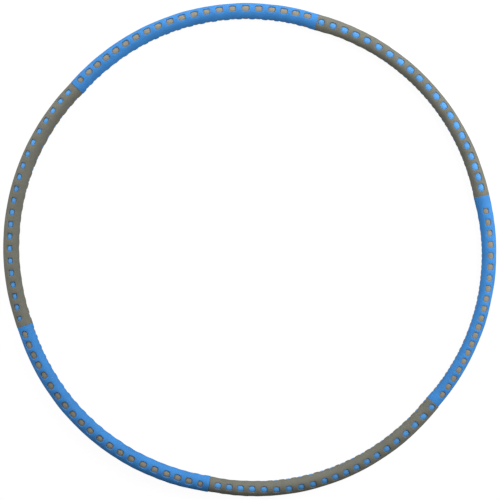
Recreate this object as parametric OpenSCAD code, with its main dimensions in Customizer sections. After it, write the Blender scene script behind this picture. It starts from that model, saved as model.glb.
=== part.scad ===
// Sectional foam-covered hoop. It lies flat: Z is the hoop's axis, and the origin is
// the hoop's centre, half-way up the tube. Sections run anticlockwise seen from above.
// Section k ends in a coupling stub that plugs into the start of section k + 1.

/* [Hoop] */
// Distance from the hoop's centre to the tube's centre line at a joint
seam_r = 457; // [445:1:470]
// Angles that sections 1 to 5 span; section 6 spans the rest of the turn
spans = [60.7, 63.1, 61.6, 61.5, 60.2];
// Angle from the X axis to the joint where section 1 starts
first_seam = 13.1; // [0:0.1:30]
// Straight length left at each end of a bent tube
end_straight = 14; // [14:1:20]
// Gap between the ends of two joined sections
end_gap = 0.3; // [0.2:0.1:1]

/* [Core tube] */
// Outer diameter of the steel core tube
tube_d = 19; // [18.8:0.1:19]
// Wall of the core tube
tube_wall = 0.6; // [0.5:0.1:0.6]

/* [Foam sleeves] */
// Outer diameter of the covered tube
sleeve_d = 30; // [28:0.5:34]
// Thickness of the under sleeve
under_wall = 2.65; // [2:0.05:3]
// Slack between one layer and the next
layer_slack = 0.05; // [0.02:0.01:0.1]
// Diameter of the access hole over each snap button
access_d = 8; // [7:0.5:9]

/* [Coupling stub] */
// Length of the stub inside its own tube
stub_in = 26; // [25:0.5:27]
// Length of the stub that enters the next tube
stub_out = 26; // [24:0.5:27]
// Radial slack between the stub and the tubes
stub_slack = 0.25; // [0.22:0.01:0.3]
// Wall of the coupling stub
stub_wall = 0.8; // [0.7:0.05:0.9]
// Diameter of the cross pin that fixes the stub
pin_d = 3; // [2.5:0.1:3.5]
// Distance from the joint back to the cross pin
pin_back = 20.5; // [20:0.1:22]

/* [Snap button] */
// Diameter of the button's head
button_d = 6; // [5:0.1:6]
// Height of the head above the core tube when it is locked
button_proud = 1.1; // [0.8:0.1:1.5]
// Distance from the joint to the button's axis
button_out = 9; // [8.5:0.1:9.2]
// Diameter of the flange that keeps the button inside the stub
flange_d = 8.4; // [8:0.1:8.4]
// Width of the hairpin spring's leaf
leaf_w = 6; // [5:0.1:6]
// Thickness of the hairpin spring's leaf
leaf_t = 0.4; // [0.3:0.05:0.4]

/* [Hidden] */
$fn = 240;
sections = len(spans) + 1;

tube_r = tube_d / 2;
bore_r = tube_r - tube_wall;
stub_r = bore_r - stub_slack;
stub_bore_r = stub_r - stub_wall;
under_bore_r = tube_r + layer_slack;
under_r = under_bore_r + under_wall;
outer_bore_r = under_r + layer_slack;
sleeve_r = sleeve_d / 2;

fit = 0.05;          // radial slack of a pin or stem in its hole
head_slack = 0.1;    // radial slack of the button's head in the stub and in the tube
chamfer = 1;         // lead-in chamfer on the stub's free end
cut = 1;             // how far a drill runs past the wall it cuts
root = 1;            // how far a straight end reaches back into the arc's wall
hair = 0.05;         // how much thinner a straight end is, on each face
clocking = 40;       // turns a straight end's seam line away from the arc's

// Heights in the snap mechanism, measured from the tube's centre line towards the button
button_top = tube_r + button_proud;
crown_r = 1;         // rounding of the head's rim
inner_slack = 0.15;  // slack of the flange and of the spring's base leg inside the stub
flange_top = sqrt(stub_bore_r * stub_bore_r - flange_d * flange_d / 4) - inner_slack;
flange_t = 0.8;
flange_low = flange_top - flange_t;
leaf_gap = 0.1;      // play between the button and the leaf it is riveted through
leaf_high = flange_low - leaf_gap;
leaf_low = leaf_high - leaf_t;
stem_r = 1.2;
rivet_r = 2;
rivet_t = 0.6;
rivet_low = leaf_low - leaf_gap - rivet_t;
// Centre of the spring's base leg, on the far side of the stub
base_leg = sqrt(stub_bore_r * stub_bore_r - leaf_w * leaf_w / 4) - inner_slack - leaf_t / 2;
bend_back = 9;       // distance from the joint back to the centre of the hairpin bend
leaf_past = 3.5;     // how far the leaf runs on past the button's axis
bend_steps = 24;     // flats round the hairpin bend
leaf_mid = (leaf_high + leaf_low) / 2;
bend_r = (leaf_mid + base_leg) / 2;
bend_mid = (base_leg - leaf_mid) / 2;

PARTS = ["outer_sleeve", "under_sleeve", "core_tube", "coupling_stub",
         "stub_pin", "snap_spring", "snap_button"];

taupe = [0.43, 0.42, 0.37];
blue = [0.20, 0.50, 0.88];

// Direction of the joint that ends section k
function seam_angle(k) = k == 0 ? first_seam
    : k == sections ? first_seam + 360
    : seam_angle(k - 1) + spans[k - 1];
function span(k) = seam_angle(k) - seam_angle(k - 1);
function mid_angle(k) = seam_angle(k - 1) + span(k) / 2;
function outer_colour(k) = k % 2 == 1 ? taupe : blue;
function under_colour(k) = k % 2 == 1 ? blue : taupe;

// Children in a frame at the joint that ends section k: X out from the hoop's centre,
// Y along the tube into section k + 1, Z up
module at_seam(k) {
    rotate([0, 0, seam_angle(k)]) translate([seam_r, 0, 0]) children();
}

// The same joint with Z along the tube and Y down, towards the button's side
module along_tube(k) {
    at_seam(k) rotate([-90, 0, 0]) children();
}

// Child profile drawn along the line where the button travels: its Z is the button's outward way
module on_button_axis(k) {
    at_seam(k) translate([0, button_out, 0]) rotate([180, 0, 0]) children();
}

module ring_profile(outer, inner) {
    difference() {
        circle(r = outer);
        circle(r = inner);
    }
}

// A pipe along section k: one arc between two short straight ends that meet the joints squarely.
// Each straight end is rooted inside the arc's wall, a hair thinner than it.
module section_pipe(k, outer, inner) {
    half = span(k) / 2;
    arc_r = seam_r - end_straight / tan(half);
    straight = end_straight - end_gap / 2;
    rotate([0, 0, mid_angle(k)]) translate([end_straight / sin(half), 0, 0]) {
        rotate([0, 0, -half]) rotate_extrude(angle = 2 * half)
            translate([arc_r, 0]) ring_profile(outer, inner);
        for (side = [-1, 1])
            rotate([0, 0, side * half]) translate([arc_r, 0, 0]) rotate([-side * 90, 0, 0])
                translate([0, 0, -root]) rotate(clocking) linear_extrude(root + straight)
                    ring_profile(outer - hair, inner + hair);
    }
}

// Drill through the button's side of the pipe at the start of section k
module button_drill(k, radius) {
    on_button_axis(k - 1) cylinder(r = radius, h = sleeve_r + cut);
}

// Drill for the cross pin, right through the end of section k
module pin_drill(k) {
    at_seam(k) translate([0, -pin_back, 0])
        cylinder(r = pin_d / 2 + fit, h = tube_d + 2 * cut, center = true);
}

module outer_sleeve(k) {
    color(outer_colour(k)) difference() {
        section_pipe(k, sleeve_r, outer_bore_r);
        button_drill(k, access_d / 2);
    }
}

module under_sleeve(k) {
    color(under_colour(k)) difference() {
        section_pipe(k, under_r, under_bore_r);
        button_drill(k, access_d / 2);
    }
}

module core_tube(k) {
    color("silver") difference() {
        section_pipe(k, tube_r, bore_r);
        button_drill(k, button_d / 2 + head_slack);
        pin_drill(k);
    }
}

module coupling_stub(k) {
    color("gainsboro") difference() {
        along_tube(k) difference() {
            union() {
                translate([0, 0, -stub_in]) cylinder(r = stub_r, h = stub_in + stub_out - chamfer);
                translate([0, 0, stub_out - chamfer])
                    cylinder(r1 = stub_r, r2 = stub_r - chamfer / 2, h = chamfer);
            }
            translate([0, 0, -stub_in - cut])
                cylinder(r = stub_bore_r, h = stub_in + stub_out + 2 * cut);
        }
        on_button_axis(k) cylinder(r = button_d / 2 + head_slack, h = sleeve_r);
        pin_drill(k);
    }
}

// The pin's ends are cut flush with the tube, just under the sleeve
module stub_pin(k) {
    flush = sqrt(tube_r * tube_r - pin_d * pin_d / 4);
    color("darkgray") at_seam(k) translate([0, -pin_back, 0])
        cylinder(r = pin_d / 2, h = 2 * flush, center = true);
}

function arc(radius, from, to) =
    [for (i = [0:bend_steps]) let (a = from + (to - from) * i / bend_steps)
        [radius * cos(a) - bend_back, radius * sin(a) + bend_mid]];

// Side view of the hairpin: leaf below, base leg above, half a ring between them
module hairpin_profile() {
    leaf_end = button_out + leaf_past;
    polygon(concat(
        arc(bend_r + leaf_t / 2, 270, 90),
        [[leaf_end, base_leg + leaf_t / 2], [leaf_end, base_leg - leaf_t / 2]],
        arc(bend_r - leaf_t / 2, 90, 270),
        [[leaf_end, -leaf_low], [leaf_end, -leaf_high]]));
}

module snap_spring(k) {
    color("lightsteelblue") difference() {
        at_seam(k) rotate([90, 0, 90]) translate([0, 0, -leaf_w / 2])
            linear_extrude(leaf_w) hairpin_profile();
        on_button_axis(k) cylinder(r = stem_r + fit, h = sleeve_r);
    }
}

// Half outline of the button, turned about its own axis
module button_outline() {
    square_to = button_top - crown_r;
    head_r = button_d / 2;
    translate([0, rivet_low]) square([rivet_r, rivet_t]);
    translate([0, rivet_low]) square([stem_r, flange_top - rivet_low]);
    translate([0, flange_low]) square([flange_d / 2, flange_t]);
    translate([0, flange_low]) square([head_r, square_to - flange_low]);
    translate([0, flange_low]) square([head_r - crown_r, button_top - flange_low]);
    intersection() {
        translate([head_r - crown_r, square_to]) circle(r = crown_r);
        translate([0, square_to]) square([head_r, crown_r]);
    }
}

module snap_button(k) {
    color("white") on_button_axis(k) rotate_extrude() button_outline();
}

for (k = [1:sections]) {
    outer_sleeve(k);
    under_sleeve(k);
    core_tube(k);
    coupling_stub(k);
    stub_pin(k);
    snap_spring(k);
    snap_button(k);
}
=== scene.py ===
"""Looks of a sectional foam-covered hoop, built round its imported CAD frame.

Sizes inside the classes are in millimetres and meshes leave in metres, in the frame's axes: Z is the
hoop's axis and the origin is its centre. Along a section, s runs from its start joint to its end joint.
Round the tube, theta runs from the crown (+Z) outward, away from the hoop's centre.
"""

import logging
import math
from dataclasses import dataclass, field
from enum import Enum

import bpy
import numpy as np
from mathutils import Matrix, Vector


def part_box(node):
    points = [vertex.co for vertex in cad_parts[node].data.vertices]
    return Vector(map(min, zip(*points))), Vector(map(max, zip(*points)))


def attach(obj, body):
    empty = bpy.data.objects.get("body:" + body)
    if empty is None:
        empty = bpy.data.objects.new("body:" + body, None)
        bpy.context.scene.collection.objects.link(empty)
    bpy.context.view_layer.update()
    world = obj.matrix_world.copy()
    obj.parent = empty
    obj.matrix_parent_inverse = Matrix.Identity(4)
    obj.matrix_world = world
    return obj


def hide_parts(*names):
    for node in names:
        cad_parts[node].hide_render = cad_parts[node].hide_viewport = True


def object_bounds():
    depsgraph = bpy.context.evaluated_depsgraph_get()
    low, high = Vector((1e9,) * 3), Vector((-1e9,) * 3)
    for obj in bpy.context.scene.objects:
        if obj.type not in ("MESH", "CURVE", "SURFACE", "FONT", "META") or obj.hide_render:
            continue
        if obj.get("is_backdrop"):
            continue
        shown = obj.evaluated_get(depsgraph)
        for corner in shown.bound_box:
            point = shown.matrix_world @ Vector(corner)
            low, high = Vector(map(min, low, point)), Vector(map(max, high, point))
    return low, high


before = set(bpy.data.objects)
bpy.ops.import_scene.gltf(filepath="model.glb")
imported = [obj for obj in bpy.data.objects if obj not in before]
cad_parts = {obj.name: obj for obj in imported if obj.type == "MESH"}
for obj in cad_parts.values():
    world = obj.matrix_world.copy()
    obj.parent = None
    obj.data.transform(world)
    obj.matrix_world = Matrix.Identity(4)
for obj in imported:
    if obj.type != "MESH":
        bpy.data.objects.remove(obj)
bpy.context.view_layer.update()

log = logging.getLogger("hoop")

MM = 0.001
SECTIONS = 6

Colour = tuple[float, float, float]


def srgb(red: int, green: int, blue: int) -> Colour:
    """Turns display values from 0 to 255 into linear light, by the sRGB curve.

    Args:
        red: display value of red.
        green: display value of green.
        blue: display value of blue.

    Returns:
        The three linear values, from 0 to 1.
    """
    share = np.array([red, green, blue]) / 255
    linear = np.where(share <= 0.04045, share / 12.92, ((share + 0.055) / 1.055) ** 2.4)
    return tuple(float(value) for value in linear)


def centre_of(node: str) -> Vector:
    """Middle of a CAD node's box at rest, in millimetres."""
    low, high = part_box(node)
    return (low + high) / (2 * MM)


def half_height(node: str) -> float:
    """Half of a CAD node's extent along Z, in millimetres: a level tube's outer radius."""
    low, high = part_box(node)
    return (high.z - low.z) / (2 * MM)


class Foam(Enum):
    """The two foam colours, named as the record's material slots."""

    TAUPE = "foam_taupe"
    BLUE = "foam_blue"


class Layer(Enum):
    """The two foam layers over the steel tube."""

    OUTER = "outer"
    UNDER = "under"


@dataclass(frozen=True)
class Joint:
    """Where one section ends and the next one starts.

    Attributes:
        angle: direction of the joint from +X, in radians.
        radius: distance from the hoop's centre to the tube's centre line there.
        button: how far past the joint the snap button's axis is.
    """

    angle: float
    radius: float
    button: float

    @classmethod
    def read(cls, number: int) -> "Joint":
        """Reads a joint from its cross pin and snap button, which lie one behind the other on its tangent.

        Args:
            number: the section that ends at the joint.

        Returns:
            The joint.
        """
        pin, button = centre_of(f"stub_pin_{number}"), centre_of(f"snap_button_{number}")
        along = Vector((button.x - pin.x, button.y - pin.y, 0)).normalized()
        angle = math.atan2(-along.x, along.y)
        outward = Vector((math.cos(angle), math.sin(angle), 0))
        return cls(angle, pin.dot(outward), button.dot(along))


@dataclass
class Centreline:
    """The line that a section's layers follow: an arc between two short straight ends.

    Attributes:
        start: angle of the joint it starts at, in radians.
        finish: angle of the joint it ends at, in radians.
        radius: distance from the hoop's centre to the line at both joints.
        straight: length of each straight end, up to the joint.
        gap: gap between the foam of two joined sections, half of it at each end.
    """

    start: float
    finish: float
    radius: float
    straight: float = 14.0
    gap: float = 0.02

    def __post_init__(self) -> None:
        """Works out the arc. Its ends are square to the joints, so its centre lies off the hoop's."""
        self.half = (self.finish - self.start) / 2
        self.middle = (self.finish + self.start) / 2
        self.offset = self.straight / math.sin(self.half)
        self.arc_radius = self.radius - self.straight / math.tan(self.half)
        self.length = 2 * (self.arc_radius * self.half + self.straight) - self.gap

    def place(self, s: np.ndarray, theta: np.ndarray, radius: np.ndarray) -> np.ndarray:
        """Points round the line: the line's point at s, plus radius times (sin theta outward + cos theta up).

        Args:
            s: distances along the line.
            theta: angles from the crown outward, in radians.
            radius: distances from the line.

        Returns:
            An array of points in metres, one row each.
        """
        run = s - self.length / 2
        turn = np.clip(run / self.arc_radius, -self.half, self.half)
        past = run - turn * self.arc_radius
        reach = self.arc_radius + radius * np.sin(theta)
        x = self.offset + reach * np.cos(turn) - past * np.sin(turn)
        y = reach * np.sin(turn) + past * np.cos(turn)
        cosine, sine = math.cos(self.middle), math.sin(self.middle)
        points = [x * cosine - y * sine, x * sine + y * cosine, radius * np.cos(theta)]
        return np.stack(points, -1) * MM


@dataclass(frozen=True)
class SectionLook:
    """How one section's foam was cut, and how it sits on its tube.

    Attributes:
        windows: number of windows in a row.
        places: degrees of the hoop from the start joint to a window's centre, at seven even steps from
            the first window to the last.
        window: a window's length along the tube and width round it.
        squareness: power of the window's rounded outline; 2 is an ellipse, and more is squarer.
        roll: degrees that the front row is turned outward, at seven even steps along the section.
        diameter: diameter of the covered tube at the start, middle and end.
        last: length of the last window against the others.
    """

    windows: int
    places: tuple[float, ...]
    window: tuple[float, float]
    squareness: float
    roll: tuple[float, ...]
    diameter: tuple[float, float, float]
    last: float = 1.0


LOOKS = (
    SectionLook(21, (2.1, 10.8, 19.9, 29.4, 39.4, 49.85, 59.6), (14.6, 13.4), 3.0,
                (3, 5, 10, 8, 4, 1, 1), (30.2, 28.6, 31.2), 0.85),
    SectionLook(21, (2.5, 12.1, 22.5, 32.6, 42.5, 52.1, 61.1), (14.5, 13.0), 3.4,
                (24, 16, 16, 16, 14, 7, 18), (31.0, 31.2, 32.0), 0.8),
    SectionLook(21, (2.2, 11.7, 21.7, 31.2, 40.8, 50.5, 59.6), (11.4, 10.6), 4.5,
                (19, 21, 21, 9, 4, 2, 20), (30.6, 30.6, 31.4), 0.75),
    SectionLook(21, (2.1, 10.9, 20.5, 29.9, 39.8, 50.0, 59.4), (14.4, 13.4), 2.8,
                (17, 12, 11, 6, 2, -5, 7), (31.0, 32.2, 31.0), 0.75),
    SectionLook(21, (2.15, 11.3, 21.2, 30.6, 39.8, 49.4, 59.1), (12.8, 13.0), 3.2,
                (-6, -5, 16, 17, 12, 9, 15), (29.1, 29.8, 29.4), 0.9),
    SectionLook(20, (2.8, 10.3, 17.5, 24.5, 32.3, 40.7, 49.2), (12.5, 12.2), 3.2,
                (17, 12, 6, 8, 6, 4, -7), (28.3, 27.2, 30.4), 0.9),
)

TURN_STEPS = 72                 # grid steps round the tube
STEP = 2 * math.pi / TURN_STEPS
ROW_STEPS = (0, 21, 49)         # grid step that each row of windows is centred on
BLOCK = 12                      # grid steps that a window's block takes, each way
ACCESS_STEPS = (27, 43)         # grid steps that the access hole's block lies between
STATION = 2.0                   # distance between rings of the grid outside the blocks
END_CLEAR = 1.2                 # least distance from a block to the sleeve's end
END_ROUND = 0.3                 # rounding of a sleeve's ends
LIP = 0.6                       # rounding of a window's lip
QUARTER = np.linspace(0, math.pi / 2, 4)
SINK_DEPTH = 0.3                # how far the outer foam sinks at a window's outline
SINK_REACH = 2.0                # how far out from the outline the sinking fades
LIP_SPREAD = (0.6, 0.25)        # loops between a block's border and the lip, as shares of the way
WALL_LEVELS = (0.35, 0.7, 1.0)  # loops down a hole's wall, as shares of its depth
LIP_RUB = 1.2                   # distance over which a lip's rub fades
LIP_CUT = 0.35                  # how far a lip looks die-cut
END_RUB = 0.8                   # distance over which a sleeve end's rub fades
END_WEAR = 0.3                  # strength of a sleeve end's rub and cut look
BETWEEN_ROWS = 0.9              # turn from a hole's centre to plain foam, in radians
TABLE_SIDE = 30.0               # half side of the table top, in metres
TABLE_GAP = 0.2 * MM            # gap between the hoop and the table top
WAVES = 6                       # sine waves in a sleeve's surface


def smooth_curve(values: tuple[float, ...], share: np.ndarray) -> np.ndarray:
    """Catmull-Rom curve: a cubic between each two values, whose slope at a value is half the step across it.

    Args:
        values: what the curve passes through, at even steps.
        share: places along the curve, from 0 to 1.

    Returns:
        The curve's values.
    """
    steps = len(values) - 1
    padded = np.array([2 * values[0] - values[1], *values, 2 * values[-1] - values[-2]], float)
    place = np.clip(share, 0, 1 - 1e-9) * steps
    step = place.astype(int)
    t = place - step
    a, b, c, d = (padded[step + shift] for shift in range(4))
    return b + (t * (c - a) + t ** 2 * (2 * a - 5 * b + 4 * c - d) + t ** 3 * (3 * b - a - 3 * c + d)) / 2


@dataclass
class Windows:
    """The windows of one section: three rows of rounded openings cut through the outer sleeve.

    Attributes:
        look: how the section's foam was cut.
        line: the section's centre line.
        seed: seed of the small differences between windows.
    """

    look: SectionLook
    line: Centreline
    seed: int

    def __post_init__(self) -> None:
        """Works out each window's centre, half length and half width, and the edges of its block."""
        draw = np.random.default_rng(self.seed)
        count = self.look.windows
        span = math.degrees(2 * self.line.half)
        share = smooth_curve(self.look.places, np.linspace(0, 1, count)) / span
        self.centres = share * self.line.length + draw.normal(0, 0.15, count)
        size = draw.normal(1, 0.015, count)
        self.half_width = self.look.window[1] / 2 * size
        size[-1] = self.look.last
        self.half_length = self.look.window[0] / 2 * size
        between = (self.centres[1:] + self.centres[:-1]) / 2
        pitch = float(np.mean(np.diff(self.centres)))
        first = max(self.centres[0] - pitch / 2, END_CLEAR)
        last = min(self.centres[-1] + pitch / 2, self.line.length - END_CLEAR)
        self.edges = np.concatenate([[first], between, [last]])

    def roll(self, s: np.ndarray) -> np.ndarray:
        """How far the rows are turned outward at s, in radians."""
        return np.radians(smooth_curve(self.look.roll, s / self.line.length))

    def nearness(self, s: np.ndarray, turn: np.ndarray, radius: np.ndarray) -> tuple[np.ndarray, ...]:
        """Where points lie against the nearest window.

        With u and v the distances from a window's centre along and round the tube, the share is
        (|u / half length| ^ p + |v / half width| ^ p) ^ (1 / p): 0 at the centre and 1 on the outline.
        The distance to the outline is measured along the ray from the centre.

        Args:
            s: distances along the section.
            turn: angles round the tube from the front row, in radians.
            radius: distances from the centre line.

        Returns:
            The share of the way from the nearest centre to its outline, the distance past the outline, and
            the number of the row.
        """
        power = self.look.squareness
        nearest = np.abs(s[..., None] - self.centres).argmin(-1)
        u = s - self.centres[nearest]
        off = (turn[..., None] - np.array(ROW_STEPS) * STEP + math.pi) % (2 * math.pi) - math.pi
        row = np.abs(off).argmin(-1)
        v = radius * np.take_along_axis(off, row[..., None], -1)[..., 0]
        along, across = np.abs(u / self.half_length[nearest]), np.abs(v / self.half_width[nearest])
        share = np.maximum((along ** power + across ** power) ** (1 / power), 1e-6)
        return share, np.hypot(u, v) * (1 - 1 / share), row


@dataclass
class QuadSkin:
    """A closed skin of quads whose corners are given by s, turn round the tube, and radius."""

    places: list[np.ndarray] = field(default_factory=list)
    quads: list[np.ndarray] = field(default_factory=list)
    size: int = 0

    def corners(self, s: np.ndarray, turn: np.ndarray, radius: np.ndarray,
                cut: np.ndarray | float = 0.0, rubbed: np.ndarray | float = 0.0) -> np.ndarray:
        """Adds corners.

        Args:
            s: distances along the section.
            turn: angles round the tube from the front row, in radians.
            radius: distances from the centre line.
            cut: how far each corner lies on a die-cut face, from 0 to 1.
            rubbed: how far each corner lies on a rubbed edge, from 0 to 1.

        Returns:
            The corners' numbers, in the shape of the given arrays.
        """
        table = np.stack(np.broadcast_arrays(s, turn, radius, cut, rubbed), -1)
        numbers = self.size + np.arange(table[..., 0].size).reshape(table.shape[:-1])
        self.places.append(table.reshape(-1, 5))
        self.size += numbers.size
        return numbers

    def bridge(self, loops: list[np.ndarray]) -> None:
        """Joins each loop to the next with quads.

        Args:
            loops: corner numbers of each loop. Seen from outside they run clockwise, the outermost first.
        """
        for near, far in zip(loops, loops[1:]):
            quads = [near, far, np.roll(far, -1, -1), np.roll(near, -1, -1)]
            self.quads.append(np.stack(quads, -1).reshape(-1, 4))

    def cover(self, grid: np.ndarray, kept: np.ndarray, outward: bool) -> None:
        """Fills the kept cells of a grid that closes on itself round the tube.

        Args:
            grid: corner numbers, one row for each station along the section.
            kept: which cells are filled.
            outward: whether the faces look away from the centre line.
        """
        beside = np.roll(grid, -1, 1)
        quads = np.stack([grid[:-1], beside[:-1], beside[1:], grid[1:]], -1)[kept]
        self.quads.append(quads if outward else quads[:, ::-1])

    def mesh(self, name: str, line: Centreline, windows: Windows) -> bpy.types.Mesh:
        """Makes the mesh, with the masks as vertex attributes, and drops corners that no face uses.

        Args:
            name: the mesh's name.
            line: the centre line that the corners are placed round.
            windows: the windows, whose roll turns the corners.

        Returns:
            The mesh, smooth shaded.
        """
        quads = np.concatenate(self.quads)
        table = np.concatenate(self.places)
        used, quads = np.unique(quads, return_inverse=True)
        quads = quads.reshape(-1, 4)
        s, turn, radius, cut, rubbed = table[used].T
        points = line.place(s, turn + windows.roll(s), radius)
        mesh = bpy.data.meshes.new(name)
        mesh.vertices.add(len(points))
        mesh.vertices.foreach_set("co", points.ravel())
        mesh.loops.add(quads.size)
        mesh.loops.foreach_set("vertex_index", quads.ravel().astype(np.int32))
        mesh.polygons.add(len(quads))
        mesh.polygons.foreach_set("loop_start", np.arange(0, quads.size, 4, dtype=np.int32))
        mesh.update(calc_edges=True)
        for mask, values in (("cut", cut), ("rubbed", rubbed)):
            attribute = mesh.attributes.new(mask, "FLOAT", "POINT")
            attribute.data.foreach_set("value", values.astype(np.float32))
        mesh.shade_smooth()
        return mesh


def block_steps(along: int, around: int) -> tuple[np.ndarray, np.ndarray]:
    """Grid steps round a block's border, from its first corner: up s, up the turn, and back.

    Args:
        along: the block's steps along the section.
        around: the block's steps round the tube.

    Returns:
        The steps along and the steps round, one of each for every border corner.
    """
    up, side = np.arange(along), np.arange(around)
    steps_along = [up, np.full(around, along), along - up, np.zeros(around, int)]
    steps_around = [np.zeros(along, int), side, np.full(along, around), around - side]
    return np.concatenate(steps_along), np.concatenate(steps_around)


@dataclass
class Hole:
    """A set of like holes through a sleeve, each in its own block of the grid.

    Attributes:
        first_ring: station that each block starts at.
        first_step: step round the tube that each block starts at.
        size: the blocks' steps along and round.
        s: each hole's centre along the section.
        turn: each hole's centre round the tube, in radians.
        half_length: each hole's half length.
        half_width: each hole's half width.
        squareness: power of the outline.
    """

    first_ring: np.ndarray
    first_step: np.ndarray
    size: tuple[int, int]
    s: np.ndarray
    turn: np.ndarray
    half_length: np.ndarray
    half_width: np.ndarray
    squareness: float


@dataclass
class FoamSleeve:
    """One foam layer of one section: a tube of foam with rounded ends and holes.

    Attributes:
        number: the section's number.
        layer: which of the two layers it is.
        foam: its colour.
        line: the section's centre line.
        windows: the section's windows.
        button: distance from the sleeve's start to the access hole.
        radii: radii of the core tube, the under layer and the outer layer in the CAD frame.
        slack: gap between one layer and the next.
        access: the access hole's radius.
        bulge: how far the under layer swells into the windows of each row.
    """

    number: int
    layer: Layer
    foam: Foam
    line: Centreline
    windows: Windows
    button: float
    radii: tuple[float, float, float]
    slack: float = 0.05
    access: float = 4.0
    bulge: tuple[float, float, float] = (1.3, 2.5, 2.5)

    def __post_init__(self) -> None:
        """Draws the small waves in the foam's surface, the same for every run."""
        draw = np.random.default_rng(40 + self.number)
        self.waves = list(zip(
            draw.uniform(0.03, 0.08, WAVES).tolist(), draw.uniform(25, 120, WAVES).tolist(),
            draw.integers(0, 4, WAVES).tolist(), draw.uniform(0, 6, WAVES).tolist()))

    @property
    def name(self) -> str:
        """The piece's name."""
        return f"{self.layer.value}_foam_{self.number}"

    def covered_radius(self, s: np.ndarray) -> np.ndarray:
        """Outer radius of the covered tube: half of the parabola through the three given diameters."""
        curve = np.polyfit([0, 0.5, 1], self.windows.look.diameter, 2)
        return np.polyval(curve, np.clip(s / self.line.length, 0, 1)) / 2

    def under_radius(self, s: np.ndarray) -> np.ndarray:
        """Outer radius of the under layer: the same share of the foam's thickness as in the CAD frame."""
        core, under, outer = self.radii
        share = (under - core - self.slack) / (outer - core - self.slack)
        return core + self.slack + share * (self.covered_radius(s) - core - self.slack)

    def end_drop(self, s: np.ndarray) -> np.ndarray:
        """Rounding at both ends, a quarter circle: the drop is e - sqrt(e^2 - (e - d)^2) at d from the end."""
        inset = END_ROUND - np.minimum(np.minimum(s, self.line.length - s), END_ROUND)
        return END_ROUND - np.sqrt(np.maximum(END_ROUND ** 2 - inset ** 2, 0))

    def skin_radius(self, s: np.ndarray, turn: np.ndarray) -> np.ndarray:
        """Radius of the sleeve's outside.

        The outer layer is the covered radius plus a few long sine waves, less a soft sinking of
        depth exp(-(d / reach)^2) at d from a window. The under layer swells in each window by the bulge times
        (1 - share^2)^0.5, where the share is 1 on the window's outline.

        Args:
            s: distances along the section.
            turn: angles round the tube from the front row, in radians.

        Returns:
            The radii.
        """
        s, turn = np.broadcast_arrays(s, turn)
        if self.layer is Layer.UNDER:
            radius = self.under_radius(s)
            share, _, row = self.windows.nearness(s, turn, radius)
            swell = np.array(self.bulge)[row] * np.sqrt(np.maximum(1 - share ** 2, 0))
            return radius + swell - self.end_drop(s) * 0.5
        radius = self.covered_radius(s)
        for height, length, lobes, phase in self.waves:
            radius = radius + height * np.sin(2 * math.pi * s / length + lobes * turn + phase)
        _, past, _ = self.windows.nearness(s, turn, radius)
        sink = SINK_DEPTH * np.exp(-(np.maximum(past, 0) / SINK_REACH) ** 2)
        return radius - sink - self.end_drop(s)

    def bore_radius(self, s: np.ndarray) -> np.ndarray:
        """Radius of the sleeve's inside, which clears the layer beneath by the slack."""
        if self.layer is Layer.UNDER:
            return np.full_like(s, self.radii[0] + self.slack)
        return self.under_radius(s) + self.slack

    def stations(self) -> tuple[np.ndarray, int]:
        """Places of the grid's rings: close together in the rounded ends, even in each window's block.

        Returns:
            The distances along the section, and the number of the ring where the first block starts.
        """
        edges, length = self.windows.edges, self.line.length
        rounded = END_ROUND * (1 - np.cos(QUARTER))
        lead = np.linspace(END_ROUND, edges[0], 1 + math.ceil((edges[0] - END_ROUND) / STATION))
        steps = np.arange(1, BLOCK + 1) / BLOCK
        blocks = (edges[:-1, None] + np.diff(edges)[:, None] * steps).ravel()
        room = length - END_ROUND - edges[-1]
        tail = np.linspace(edges[-1], length - END_ROUND, 1 + math.ceil(room / STATION))
        rings = np.concatenate([rounded[:-1], lead, blocks, tail[1:], length - rounded[:-1][::-1]])
        return rings, len(rounded) - 1 + len(lead) - 1

    def window_holes(self, first: int) -> Hole:
        """The windows as holes, the rows one after another.

        Args:
            first: number of the ring where the first block starts.

        Returns:
            The holes.
        """
        count, rows = self.windows.look.windows, len(ROW_STEPS)
        steps = np.repeat(ROW_STEPS, count)
        return Hole(
            first_ring=np.tile(first + BLOCK * np.arange(count), rows),
            first_step=steps - BLOCK // 2,
            size=(BLOCK, BLOCK),
            s=np.tile(self.windows.centres, rows),
            turn=steps * STEP,
            half_length=np.tile(self.windows.half_length, rows),
            half_width=np.tile(self.windows.half_width, rows),
            squareness=self.windows.look.squareness)

    def access_hole(self, rings: np.ndarray) -> Hole:
        """The round hole over the snap button, on the underside near the start joint.

        Its walls point at the centre line, so it is as wide as it is long half-way through the sleeve. The
        under sleeve has no windows beside it, so there its block is centred on it.

        Args:
            rings: places of the grid's rings.

        Returns:
            The hole.
        """
        first = len(QUARTER) - 1
        last = int(np.searchsorted(rings, self.button + self.access + 2))
        steps = ACCESS_STEPS[1] - ACCESS_STEPS[0]
        at = np.array([self.button])
        turn = math.pi - self.windows.roll(at)
        centred = np.rint(turn / STEP).astype(int) - steps // 2
        radius, bore = self.skin_radius(at, turn), self.bore_radius(at)
        return Hole(
            first_ring=np.array([first]),
            first_step=centred if self.layer is Layer.UNDER else np.array([ACCESS_STEPS[0]]),
            size=(last - first, steps), s=at, turn=turn, half_length=np.array([self.access]),
            half_width=2 * self.access * radius / (radius + bore), squareness=2.0)

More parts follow.
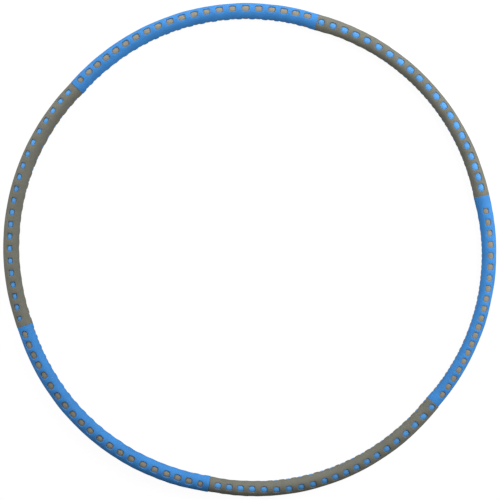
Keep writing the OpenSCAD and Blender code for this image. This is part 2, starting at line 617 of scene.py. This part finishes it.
    def pierce(self, skin: QuadSkin, rings: np.ndarray, outside: np.ndarray, inside: np.ndarray,
               hole: Hole) -> None:
        """Cuts holes: loops of corners lead from each block's border over a rounded lip and down to the bore.

        A border corner at (x, y), with both from -1 to 1 across the block, leads to the outline's point at
        f (x half length, y half width), where f = (|x|^p + |y|^p)^(-1/p). Loops between them lie on the
        straight line from one to the other, at set distances from the outline.

        Args:
            skin: the skin that takes the loops.
            rings: places of the grid's rings.
            outside: corner numbers of the outer grid.
            inside: corner numbers of the bore's grid.
            hole: the holes.
        """
        along, around = block_steps(*hole.size)
        ring = hole.first_ring[:, None] + along
        step = hole.first_step[:, None] + around
        border_s, border_turn = rings[ring], step * STEP
        low, high = border_s.min(1, keepdims=True), border_s.max(1, keepdims=True)
        x = 2 * (border_s - low) / (high - low) - 1
        y = np.broadcast_to(2 * around / hole.size[1] - 1, x.shape)
        power = hole.squareness
        pull = (np.abs(x) ** power + np.abs(y) ** power) ** (-1 / power)
        radius = self.skin_radius(hole.s, hole.turn + BETWEEN_ROWS)[:, None]
        edge_s = hole.s[:, None] + hole.half_length[:, None] * x * pull
        edge_turn = hole.turn[:, None] + hole.half_width[:, None] * y * pull / radius
        width_s, width_turn = border_s - edge_s, border_turn - edge_turn
        reach = np.hypot(width_s, width_turn * radius)
        loops = [outside[ring, step % TURN_STEPS]]
        lip = np.minimum(LIP / reach, 0.9)
        spread = [lip + (1 - lip) * share for share in LIP_SPREAD]
        rounded = [lip * (1 - math.cos(angle)) for angle in QUARTER[::-1]]
        for share in spread + rounded:
            s, turn = edge_s + width_s * share, edge_turn + width_turn * share
            inset = LIP * (1 - np.minimum(share / lip, 1))
            drop = LIP - np.sqrt(np.maximum(LIP ** 2 - inset ** 2, 0))
            near = np.exp(-(share * reach / LIP_RUB) ** 2)
            loops.append(skin.corners(s, turn, self.skin_radius(s, turn) - drop, LIP_CUT * near, near))
        top = self.skin_radius(edge_s, edge_turn) - LIP
        bore = self.bore_radius(edge_s)
        for share in WALL_LEVELS:
            loops.append(skin.corners(edge_s, edge_turn, top + (bore - top) * share, 1.0, 0.0))
        middle_s, middle_turn = edge_s + width_s / 2, edge_turn + width_turn / 2
        loops.append(skin.corners(middle_s, middle_turn, self.bore_radius(middle_s)))
        loops.append(inside[ring, step % TURN_STEPS])
        skin.bridge(loops)

    def build(self) -> bpy.types.Object:
        """Builds the sleeve as one closed skin: outside, bore, ends, and the walls of its holes.

        Returns:
            The sleeve's object, riding on its section in place of its CAD node.
        """
        skin = QuadSkin()
        rings, first = self.stations()
        turns = np.arange(TURN_STEPS) * STEP
        s, turn = np.meshgrid(rings, turns, indexing="ij")
        wear = END_WEAR * np.exp(-(np.minimum(s, self.line.length - s) / END_RUB) ** 2)
        outside = skin.corners(s, turn, self.skin_radius(s, turn), wear, wear)
        inside = skin.corners(s, turn, self.bore_radius(s))
        kept = np.ones((len(rings) - 1, TURN_STEPS), bool)
        holes = [self.access_hole(rings)]
        if self.layer is Layer.OUTER:
            holes.append(self.window_holes(first))
        for hole in holes:
            for ring, step in zip(hole.first_ring, hole.first_step):
                columns = np.arange(step, step + hole.size[1]) % TURN_STEPS
                kept[ring:ring + hole.size[0], columns] = False
            self.pierce(skin, rings, outside, inside, hole)
        skin.cover(outside, kept, outward=True)
        skin.cover(inside, kept, outward=False)
        skin.bridge([outside[0], inside[0]])
        skin.bridge([inside[-1], outside[-1]])
        piece = bpy.data.objects.new(self.name, skin.mesh(self.name, self.line, self.windows))
        bpy.context.scene.collection.objects.link(piece)
        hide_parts(f"{self.layer.value}_sleeve_{self.number}")
        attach(piece, f"section_{self.number}")
        return piece


class NodeBench:
    """Sets out the nodes of one tree."""

    def __init__(self, tree: bpy.types.NodeTree) -> None:
        """Starts on a tree.

        Args:
            tree: the tree that takes the nodes.
        """
        self.tree = tree

    def add(self, kind: str, inputs: dict | None = None, **settings: object) -> bpy.types.Node:
        """Adds a node.

        Args:
            kind: the node's type, without its "ShaderNode" prefix.
            inputs: a value or another node's output for each named or numbered input.
            settings: the node's own properties.

        Returns:
            The node.
        """
        node = self.tree.nodes.new("ShaderNode" + kind)
        for name, value in settings.items():
            setattr(node, name, value)
        for key, value in (inputs or {}).items():
            if isinstance(value, bpy.types.NodeSocket):
                self.tree.links.new(value, node.inputs[key])
            elif isinstance(value, tuple) and len(value) == 3 and node.inputs[key].type == "RGBA":
                node.inputs[key].default_value = (*value, 1.0)
            else:
                node.inputs[key].default_value = value
        return node

    def sum(self, operation: str, first: object, second: object = 0.0) -> bpy.types.NodeSocket:
        """One Math node's result on two values or sockets."""
        return self.add("Math", {0: first, 1: second}, operation=operation).outputs[0]

    def blend(self, share: object, first: object, second: object, how: str = "MIX") -> bpy.types.NodeSocket:
        """Mixes two colours.

        Args:
            share: how much of the second colour shows.
            first: the first colour or socket.
            second: the second colour or socket.
            how: the way of mixing.

        Returns:
            The mixed colour.
        """
        node = self.add("Mix", data_type="RGBA", blend_type=how)
        for socket, value in ((node.inputs[0], share), (node.inputs[6], first), (node.inputs[7], second)):
            if isinstance(value, bpy.types.NodeSocket):
                self.tree.links.new(value, socket)
            else:
                socket.default_value = (*value, 1.0) if isinstance(value, tuple) else value
        return node.outputs[2]

    def remap(self, value: object, low: float, high: float, to_low: float,
              to_high: float) -> bpy.types.NodeSocket:
        """Maps low..high to to_low..to_high, held at both ends."""
        return self.add("MapRange", {0: value, 1: low, 2: high, 3: to_low, 4: to_high}).outputs[0]


def node_group(name: str, inputs: dict[str, str], outputs: dict[str, str]) -> tuple[bpy.types.NodeTree, bool]:
    """Finds a node group or makes an empty one.

    Args:
        name: the group's name.
        inputs: type of each input socket.
        outputs: type of each output socket.

    Returns:
        The group, and whether it is new.
    """
    found = bpy.data.node_groups.get(name)
    if found:
        return found, False
    group = bpy.data.node_groups.new(name, "ShaderNodeTree")
    for sockets, way in ((inputs, "INPUT"), (outputs, "OUTPUT")):
        for socket, kind in sockets.items():
            group.interface.new_socket(name=socket, in_out=way, socket_type="NodeSocket" + kind)
    return group, True


def foam_grain() -> bpy.types.NodeTree:
    """Skin of closed-cell foam: fine pebbles, small pits, and a slow change of tone.

    Returns:
        The group. Height lies between 0 and 1, as do the Tone mask, the mask of painted shade in the pits, and
        the Cells of a cut face.
    """
    group, new = node_group(
        "foam_grain", {"Vector": "Vector", "Pebble": "Float"},
        {"Height": "Float", "Tone": "Float", "PaintedPitShade": "Float", "Cells": "Float"})
    if not new:
        return group
    bench = NodeBench(group)
    given, result = group.nodes.new("NodeGroupInput"), group.nodes.new("NodeGroupOutput")
    vector, pebble = given.outputs["Vector"], given.outputs["Pebble"]
    pebbles = bench.add("TexVoronoi", {"Vector": vector, "Scale": pebble}, feature="SMOOTH_F1")
    fine = bench.add("TexNoise", {"Vector": vector, "Scale": 3200.0, "Detail": 2.0})
    slow = bench.add("TexNoise", {"Vector": vector, "Scale": 38.0, "Detail": 4.0, "Roughness": 0.62})
    pits = bench.add("TexVoronoi", {"Vector": vector, "Scale": 310.0, "Randomness": 1.0})
    cells = bench.add("TexVoronoi", {"Vector": vector, "Scale": 2100.0}, feature="DISTANCE_TO_EDGE")
    dome = bench.remap(pebbles.outputs["Distance"], 0.0, 0.7, 1.0, 0.0)
    pit = bench.remap(pits.outputs["Distance"], 0.06, 0.16, 1.0, 0.0)
    height = bench.sum("ADD", bench.sum("MULTIPLY", dome, 0.6), bench.sum("MULTIPLY", fine.outputs["Fac"], 0.4))
    height = bench.sum("SUBTRACT", height, bench.sum("MULTIPLY", pit, 0.5))
    for name, socket in (
            ("Height", height), ("Tone", bench.remap(slow.outputs["Fac"], 0.3, 0.7, 0.0, 1.0)), ("PaintedPitShade", pit),
            ("Cells", bench.remap(cells.outputs["Distance"], 0.0, 0.25, 0.0, 1.0))):
        group.links.new(socket, result.inputs[name])
    return group


def edge_rub() -> bpy.types.NodeTree:
    """Breaks a smooth edge mask up, so that an edge looks rubbed in places.

    Returns:
        The group. Mask is the given edge, thinned by a noise, from 0 to 1.
    """
    group, new = node_group("edge_rub", {"Vector": "Vector", "Edge": "Float"}, {"Mask": "Float"})
    if not new:
        return group
    bench = NodeBench(group)
    given, result = group.nodes.new("NodeGroupInput"), group.nodes.new("NodeGroupOutput")
    patches = bench.add("TexNoise", {"Vector": given.outputs["Vector"], "Scale": 160.0, "Detail": 5.0})
    worn = bench.remap(patches.outputs["Fac"], 0.42, 0.66, 0.15, 1.0)
    group.links.new(bench.sum("MULTIPLY", given.outputs["Edge"], worn), result.inputs["Mask"])
    return group


def drawn_steel() -> bpy.types.NodeTree:
    """Fine lines drawn along a tube that bends round the Z axis, with smudges.

    The lines are a noise of the distance from Z and of the height alone, so they keep their way round the hoop.

    Returns:
        The group. Streak, Smudge and Height lie between 0 and 1.
    """
    group, new = node_group(
        "drawn_steel", {"Vector": "Vector", "Fineness": "Float"},
        {"Streak": "Float", "Smudge": "Float", "Height": "Float"})
    if not new:
        return group
    bench = NodeBench(group)
    given, result = group.nodes.new("NodeGroupInput"), group.nodes.new("NodeGroupOutput")
    vector = given.outputs["Vector"]
    parts = bench.add("SeparateXYZ", {0: vector})
    squares = [bench.sum("MULTIPLY", parts.outputs[axis], parts.outputs[axis]) for axis in (0, 1)]
    distance = bench.sum("SQRT", bench.sum("ADD", *squares))
    flat = bench.add("CombineXYZ", {0: distance, 1: parts.outputs[2]}).outputs[0]
    lines = bench.add("TexNoise", {"Vector": flat, "Scale": given.outputs["Fineness"], "Detail": 4.0})
    smudge = bench.add("TexNoise", {"Vector": vector, "Scale": 70.0, "Detail": 4.0, "Roughness": 0.6})
    specks = bench.add("TexNoise", {"Vector": vector, "Scale": 1500.0, "Detail": 1.0})
    height = bench.sum("ADD", bench.sum("MULTIPLY", lines.outputs["Fac"], 0.7),
                       bench.sum("MULTIPLY", specks.outputs["Fac"], 0.3))
    for name, socket in (
            ("Streak", bench.remap(lines.outputs["Fac"], 0.3, 0.7, 0.0, 1.0)),
            ("Smudge", bench.remap(smudge.outputs["Fac"], 0.35, 0.7, 0.0, 1.0)), ("Height", height)):
        group.links.new(socket, result.inputs[name])
    return group


def blank_material(name: str) -> tuple[bpy.types.Material, NodeBench, bpy.types.NodeSocket]:
    """Starts a material.

    Args:
        name: the material's name.

    Returns:
        The material, a bench on its emptied tree, and its object coordinates.
    """
    material = bpy.data.materials.new(name)
    material.use_nodes = True
    material.node_tree.nodes.clear()
    bench = NodeBench(material.node_tree)
    return material, bench, bench.add("TexCoord").outputs["Object"]


def finish_surface(bench: NodeBench, shader: bpy.types.Node) -> None:
    """Sends a shader to the material's output."""
    output = bench.add("OutputMaterial")
    bench.tree.links.new(shader.outputs[0], output.inputs["Surface"])


@dataclass(frozen=True)
class FoamFinish:
    """Closed-cell foam with a fine pebbled skin.

    Attributes:
        name: the material's name.
        colour: the foam's colour, in linear light.
        pebble: pebbles to a metre.
        depth: height of the pebbles, in metres.
        contrast: how far the tone changes over the surface.
    """

    name: str
    colour: Colour
    pebble: float = 1150.0
    depth: float = 0.0002
    contrast: float = 0.11

    def shade(self, factor: float, lift: float = 0.0) -> Colour:
        """The colour times a factor, lifted towards grey."""
        grey = sum(self.colour) / 3
        return tuple(min(1.0, (value + (grey - value) * lift) * factor) for value in self.colour)

    def material(self) -> bpy.types.Material:
        """Makes the material: tone over the skin with painted shade in its pits, greyer cut faces with painted
        shade along their cell borders, and rubbed edges.

        Returns:
            The material.
        """
        material, bench, place = blank_material(self.name)
        grain = bench.add("Group", node_tree=foam_grain())
        bench.tree.links.new(place, grain.inputs["Vector"])
        grain.inputs["Pebble"].default_value = self.pebble
        cut = bench.add("Attribute", attribute_name="cut").outputs["Fac"]
        edge = bench.add("Attribute", attribute_name="rubbed").outputs["Fac"]
        rub = bench.add("Group", node_tree=edge_rub())
        bench.tree.links.new(place, rub.inputs["Vector"])
        bench.tree.links.new(edge, rub.inputs["Edge"])
        skin = bench.blend(grain.outputs["Tone"], self.shade(1 - self.contrast), self.shade(1 + self.contrast))
        # Painted shade in the pits: the skin darkens towards 0.6 of its colour there.
        skin = bench.blend(bench.sum("MULTIPLY", grain.outputs["PaintedPitShade"], 0.3), skin, self.shade(0.6))
        # Cut faces: their own greyer colour inside the cells, and painted shade darkening the cell borders,
        # where the bump sinks.
        cells = bench.blend(grain.outputs["Cells"], self.shade(0.7), self.shade(1.05, 0.1))
        colour = bench.blend(cut, skin, cells)
        colour = bench.blend(bench.sum("MULTIPLY", rub.outputs["Mask"], 0.35), colour, self.shade(1.25, 0.15))
        heights = {0: cut, 2: grain.outputs["Height"], 3: grain.outputs["Cells"]}
        height = bench.add("Mix", heights, data_type="FLOAT")
        bump = bench.add("Bump", {"Height": height.outputs[0], "Strength": 0.6, "Distance": self.depth})
        rough = bench.remap(grain.outputs["Tone"], 0.0, 1.0, 0.66, 0.78)
        rough = bench.sum("ADD", rough, bench.sum("MULTIPLY", cut, 0.15))
        shader = bench.add("BsdfPrincipled", {
            "Base Color": colour, "Roughness": rough, "Normal": bump.outputs[0], "Specular IOR Level": 0.32})
        finish_surface(bench, shader)
        return material


@dataclass(frozen=True)
class SteelFinish:
    """Steel with fine lines, smudges and a tint.

    Attributes:
        name: the material's name.
        colour: the steel's colour, in linear light.
        tint: the colour it turns in its smudges.
        rough: roughness between the lines and on them.
        fineness: lines to a metre.
        depth: depth of the lines, in metres.
        tinted: how much of the tint shows.
    """

    name: str
    colour: Colour
    tint: Colour
    rough: tuple[float, float]
    fineness: float = 1400.0
    depth: float = 0.00003
    tinted: float = 0.5

    def material(self) -> bpy.types.Material:
        """Makes the material: drawn lines in its roughness and height, and a tint in its smudges.

        Returns:
            The material.
        """
        material, bench, place = blank_material(self.name)
        grain = bench.add("Group", node_tree=drawn_steel())
        bench.tree.links.new(place, grain.inputs["Vector"])
        grain.inputs["Fineness"].default_value = self.fineness
        tint = bench.sum("MULTIPLY", grain.outputs["Smudge"], self.tinted)
        colour = bench.blend(tint, self.colour, self.tint)
        darker = tuple(value * 0.82 for value in self.colour)
        colour = bench.blend(bench.sum("MULTIPLY", grain.outputs["Streak"], 0.4), colour, darker)
        rough = bench.remap(grain.outputs["Streak"], 0.0, 1.0, *self.rough)
        rough = bench.sum("ADD", rough, bench.sum("MULTIPLY", grain.outputs["Smudge"], 0.06))
        bump = bench.add("Bump", {"Height": grain.outputs["Height"], "Strength": 0.5, "Distance": self.depth})
        shader = bench.add("BsdfPrincipled", {
            "Base Color": colour, "Roughness": rough, "Normal": bump.outputs[0], "Metallic": 1.0})
        finish_surface(bench, shader)
        return material


FOAMS = {
    (Layer.OUTER, Foam.TAUPE): FoamFinish("taupe_foam", srgb(120, 120, 109)),
    (Layer.OUTER, Foam.BLUE): FoamFinish("blue_foam", srgb(62, 140, 214)),
    (Layer.UNDER, Foam.TAUPE): FoamFinish("taupe_under_foam", srgb(150, 144, 128)),
    (Layer.UNDER, Foam.BLUE): FoamFinish("sky_under_foam", srgb(90, 164, 234)),
}

STEELS = {
    "core_tube": SteelFinish("galvanised_tube", srgb(190, 194, 198), srgb(150, 158, 168), (0.34, 0.5)),
    "coupling_stub": SteelFinish("drawn_stub", srgb(205, 207, 208), srgb(180, 176, 168), (0.22, 0.36)),
    "stub_pin": SteelFinish("plain_pin", srgb(158, 160, 164), srgb(120, 116, 112), (0.3, 0.45)),
    "snap_spring": SteelFinish(
        "tempered_spring", srgb(96, 108, 132), srgb(150, 112, 70), (0.24, 0.36), tinted=0.8),
    "snap_button": SteelFinish("bright_button", srgb(226, 227, 230), srgb(205, 206, 210), (0.1, 0.18), 2600.0),
}


@dataclass
class Hoop:
    """The whole hoop: six foam-covered sections on the frame's steel.

    Attributes:
        joints: the joints in order, the first of them where section 1 starts.
    """

    joints: list[Joint] = field(default_factory=list)

    def __post_init__(self) -> None:
        """Reads the joints from the frame."""
        self.joints = [Joint.read(k) for k in (SECTIONS, *range(1, SECTIONS + 1))]

    def centreline(self, number: int) -> Centreline:
        """The centre line of a section, from the joint before it to its own."""
        start, finish = self.joints[number - 1], self.joints[number]
        sweep = (finish.angle - start.angle) % (2 * math.pi)
        return Centreline(start.angle, start.angle + sweep, finish.radius)

    def cover(self) -> None:
        """Builds and dresses both foam layers of every section."""
        finishes = {key: finish.material() for key, finish in FOAMS.items()}
        for number, look in enumerate(LOOKS, 1):
            line = self.centreline(number)
            windows = Windows(look, line, seed=number)
            layers = ("core_tube", "under_sleeve", "outer_sleeve")
            radii = tuple(half_height(f"{node}_{number}") for node in layers)
            button = self.joints[number - 1].button - line.gap / 2
            pair = (Foam.TAUPE, Foam.BLUE) if number % 2 else (Foam.BLUE, Foam.TAUPE)
            for layer, foam in zip(Layer, pair):
                sleeve = FoamSleeve(number, layer, foam, line, windows, button, radii)
                piece = sleeve.build()
                piece.data.materials.append(finishes[layer, foam])
                log.info("%s: %d faces, %s", piece.name, len(piece.data.polygons), foam.value)

    def dress_steel(self) -> None:
        """Gives every steel node of the frame its finish."""
        finishes = {kind: finish.material() for kind, finish in STEELS.items()}
        for name, node in sorted(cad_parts.items()):
            kind = name.rpartition("_")[0]
            if kind in finishes:
                if not node.material_slots:
                    node.data.materials.append(None)
                for slot in node.material_slots:
                    slot.material = finishes[kind]
                log.info("%s: %s", name, finishes[kind].name)


@dataclass(frozen=True)
class Softbox:
    """A square soft light aimed at the hoop's centre.

    Attributes:
        name: its name.
        place: where it hangs, in metres.
        side: its side, in metres.
        power: its power, in watts.
    """

    name: str
    place: Colour
    side: float
    power: float

    def hang(self) -> None:
        """Adds the light, unseen by the camera itself."""
        lamp = bpy.data.lights.new(self.name, "AREA")
        lamp.size, lamp.energy = self.side, self.power
        light = bpy.data.objects.new(self.name, lamp)
        light.location = self.place
        light.rotation_euler = (-Vector(self.place)).to_track_quat("-Z", "Y").to_euler()
        light.visible_camera = False
        bpy.context.scene.collection.objects.link(light)


SOFTBOXES = (
    Softbox("back_low", (0.0, 1.7, 0.6), 1.2, 15.0),
    Softbox("back_left", (-1.2, 1.2, 0.8), 1.2, 8.2),
    Softbox("right_high", (1.3, 0.6, 1.3), 1.2, 20.7),
    Softbox("right", (1.4, 0.0, 0.5), 1.0, 5.1),
    Softbox("left", (-1.4, 0.0, 0.5), 1.0, 4.8),
)


@dataclass
class Studio:
    """A white table top, soft lights on three sides and a camera straight above.

    Attributes:
        lens: the camera's focal length.
        height: the camera's height above the middle of the tube, in metres.
        aim: where the camera stands over the hoop, in metres.
        fill: brightness of the surroundings as light.
        bounce: paleness of the table top as light comes off it.
    """

    lens: float = 100.0
    height: float = 2.674
    aim: tuple[float, float] = (-0.0006, 0.0003)
    fill: float = 0.187
    bounce: float = 0.35

    def camera(self) -> None:
        """Sets the camera above the hoop, looking straight down with +Y up."""
        camera = bpy.data.objects.new("camera", bpy.data.cameras.new("camera"))
        camera.data.lens = self.lens
        camera.location = (*self.aim, self.height)
        bpy.context.scene.collection.objects.link(camera)
        bpy.context.scene.camera = camera

    def light(self) -> None:
        """Hangs the soft lights."""
        for softbox in SOFTBOXES:
            softbox.hang()

    def surroundings(self) -> None:
        """Makes the surroundings white to the camera, and a softer grey as light."""
        world = bpy.data.worlds.new("studio")
        world.use_nodes = True
        world.node_tree.nodes.clear()
        bench = NodeBench(world.node_tree)
        seen = bench.add("LightPath").outputs["Is Camera Ray"]
        strength = bench.remap(seen, 0.0, 1.0, self.fill, 1.0)
        shade = bench.add("Background", {"Color": (1.0, 1.0, 1.0), "Strength": strength})
        output = bench.add("OutputWorld")
        bench.tree.links.new(shade.outputs[0], output.inputs["Surface"])
        bpy.context.scene.world = world

    def table_top(self, level: float) -> None:
        """Lays a wide white plane under the hoop, with a faint soft shadow on it.

        Args:
            level: height of the plane, in metres.
        """
        mesh = bpy.data.meshes.new("table_top")
        corners = [(x * TABLE_SIDE, y * TABLE_SIDE, level) for x, y in ((-1, -1), (1, -1), (1, 1), (-1, 1))]
        mesh.from_pydata(corners, [], [(0, 1, 2, 3)])
        plane = bpy.data.objects.new("table_top", mesh)
        bpy.context.scene.collection.objects.link(plane)
        material, bench, _ = blank_material("table_top")
        seen = bench.add("LightPath").outputs["Is Camera Ray"]
        matte = bench.add("BsdfDiffuse", {"Color": (self.bounce,) * 3})
        pale = bench.add("BsdfDiffuse", {"Color": (0.10,) * 3})
        glow = bench.add("Emission", {"Color": (1.0, 1.0, 1.0), "Strength": 0.95})
        bright = bench.add("AddShader", {0: pale.outputs[0], 1: glow.outputs[0]})
        finish_surface(bench, bench.add("MixShader", {0: seen, 1: matte.outputs[0], 2: bright.outputs[0]}))
        mesh.materials.append(material)
        plane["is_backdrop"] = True


def main() -> None:
    """Builds the hoop and the studio."""
    logging.basicConfig(level=logging.INFO, format="%(message)s")
    hoop = Hoop()
    hoop.cover()
    hoop.dress_steel()
    studio = Studio()
    studio.table_top(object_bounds()[0].z - TABLE_GAP)
    studio.surroundings()
    studio.light()
    studio.camera()
    scene = bpy.context.scene
    scene.view_settings.view_transform = "Standard"
    scene.view_settings.look = "None"


if __name__ == "__main__":
    main()
